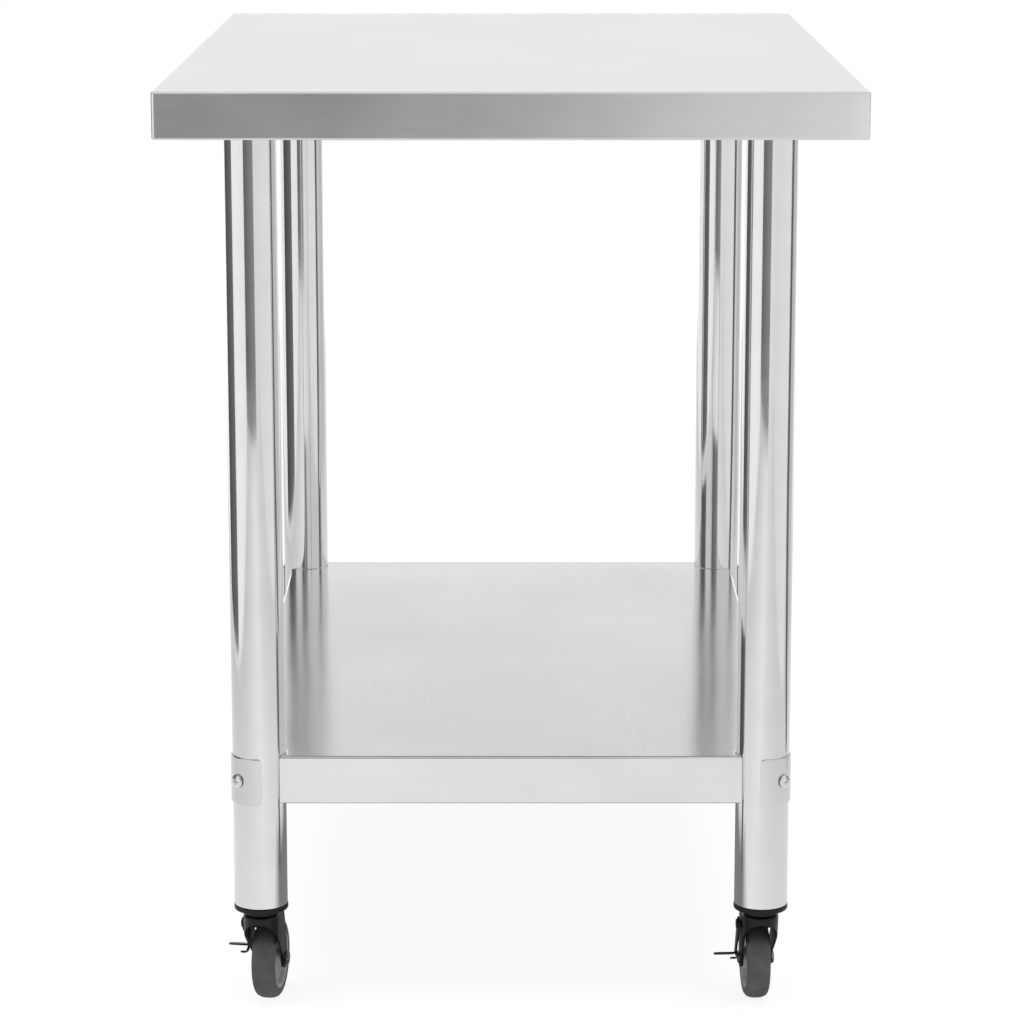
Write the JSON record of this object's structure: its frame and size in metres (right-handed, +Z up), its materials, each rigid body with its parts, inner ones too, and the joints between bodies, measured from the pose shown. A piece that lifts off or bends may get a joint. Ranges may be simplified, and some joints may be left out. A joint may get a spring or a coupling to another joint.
{
  "type": "work table on casters",
  "caption": "Stainless kitchen work table: folded worktop on round legs, clamped undershelf, and swivel casters with foot brakes at the front.",
  "frame": {"origin": "middle of the table's footprint, on the floor", "axes": "+X across the table's short side, +Y along its length away from the braked casters, +Z up"},
  "size_m": [0.61, 0.914, 0.844],
  "materials": {
    "stainless_sheet": "fine brushed stainless sheet",
    "stainless_tube": "bright polished stainless tube",
    "zinc_steel": "dull zinc-coated steel",
    "bright_steel": "bright zinc-plated fasteners",
    "core_board": "pale particle board",
    "black_steel": "satin black coated pressed steel",
    "black_plastic": "black moulded plastic",
    "grey_rubber": "mid-grey non-marking rubber",
    "grey_plastic": "light grey moulded plastic"
  },
  "bodies": {
    "table": {"worktop": "stainless_sheet", "worktop_board": "core_board", "worktop_channel_front": "zinc_steel", "worktop_channel_back": "zinc_steel", "shelf": "stainless_sheet", "shelf_channel": "zinc_steel", "leg_socket_front_left": "zinc_steel", "leg_front_left": "stainless_tube", "shelf_bracket_front_left": "stainless_sheet", "bracket_screw_front_left": "bright_steel", "bracket_nut_front_left": "bright_steel", "caster_plug_front_left": "black_plastic", "caster_stem_front_left": "black_steel", "leg_socket_front_right": "zinc_steel", "leg_front_right": "stainless_tube", "shelf_bracket_front_right": "stainless_sheet", "bracket_screw_front_right": "bright_steel", "bracket_nut_front_right": "bright_steel", "caster_plug_front_right": "black_plastic", "caster_stem_front_right": "black_steel", "leg_socket_back_left": "zinc_steel", "leg_back_left": "stainless_tube", "shelf_bracket_back_left": "stainless_sheet", "bracket_screw_back_left": "bright_steel", "bracket_nut_back_left": "bright_steel", "caster_plug_back_left": "black_plastic", "caster_stem_back_left": "black_steel", "leg_socket_back_right": "zinc_steel", "leg_back_right": "stainless_tube", "shelf_bracket_back_right": "stainless_sheet", "bracket_screw_back_right": "bright_steel", "bracket_nut_back_right": "bright_steel", "caster_plug_back_right": "black_plastic", "caster_stem_back_right": "black_steel"},
    "fork_front_left": {"caster_fork_front_left": "black_steel", "caster_axle_front_left": "bright_steel", "caster_nut_front_left": "bright_steel"},
    "wheel_front_left": {"caster_tyre_front_left": "grey_rubber", "caster_hub_front_left": "grey_plastic"},
    "brake_front_left": {"brake_lever_front_left": "black_steel", "brake_shoe_front_left": "black_steel"},
    "fork_front_right": {"caster_fork_front_right": "black_steel", "caster_axle_front_right": "bright_steel", "caster_nut_front_right": "bright_steel"},
    "wheel_front_right": {"caster_tyre_front_right": "grey_rubber", "caster_hub_front_right": "grey_plastic"},
    "brake_front_right": {"brake_lever_front_right": "black_steel", "brake_shoe_front_right": "black_steel"},
    "fork_back_left": {"caster_fork_back_left": "black_steel", "caster_axle_back_left": "bright_steel", "caster_nut_back_left": "bright_steel"},
    "wheel_back_left": {"caster_tyre_back_left": "grey_rubber", "caster_hub_back_left": "grey_plastic"},
    "fork_back_right": {"caster_fork_back_right": "black_steel", "caster_axle_back_right": "bright_steel", "caster_nut_back_right": "bright_steel"},
    "wheel_back_right": {"caster_tyre_back_right": "grey_rubber", "caster_hub_back_right": "grey_plastic"}
  },
  "joints": [
    {"name": "swivel_front_left", "type": "hinge", "parent": "table", "child": "fork_front_left", "pos_m": [-0.227, -0.379, 0.09], "axis": [0, 0, 1], "continuous": true},
    {"name": "roll_front_left", "type": "hinge", "parent": "fork_front_left", "child": "wheel_front_left", "pos_m": [-0.22168, -0.34542, 0.0375], "axis": [0.9877, -0.1564, 0], "continuous": true},
    {"name": "brake_front_left", "type": "hinge", "parent": "fork_front_left", "child": "brake_front_left", "pos_m": [-0.22544, -0.36912, 0.078], "axis": [0.9877, -0.1564, 0], "range_deg": [-13, 0]},
    {"name": "swivel_front_right", "type": "hinge", "parent": "table", "child": "fork_front_right", "pos_m": [0.227, -0.379, 0.09], "axis": [0, 0, 1], "continuous": true},
    {"name": "roll_front_right", "type": "hinge", "parent": "fork_front_right", "child": "wheel_front_right", "pos_m": [0.22492, -0.34506, 0.0375], "axis": [0.9981, 0.061, 0], "continuous": true},
    {"name": "brake_front_right", "type": "hinge", "parent": "fork_front_right", "child": "brake_front_right", "pos_m": [0.22639, -0.36902, 0.078], "axis": [0.9981, 0.061, 0], "range_deg": [0, 13]},
    {"name": "swivel_back_left", "type": "hinge", "parent": "table", "child": "fork_back_left", "pos_m": [-0.227, 0.379, 0.09], "axis": [0, 0, 1], "continuous": true},
    {"name": "roll_back_left", "type": "hinge", "parent": "fork_back_left", "child": "wheel_back_left", "pos_m": [-0.22937, 0.41292, 0.0375], "axis": [0.9976, 0.0698, 0], "continuous": true},
    {"name": "swivel_back_right", "type": "hinge", "parent": "table", "child": "fork_back_right", "pos_m": [0.227, 0.379, 0.09], "axis": [0, 0, 1], "continuous": true},
    {"name": "roll_back_right", "type": "hinge", "parent": "fork_back_right", "child": "wheel_back_right", "pos_m": [0.23114, 0.41275, 0.0375], "axis": [0.9925, -0.1219, 0], "continuous": true}
  ]
}
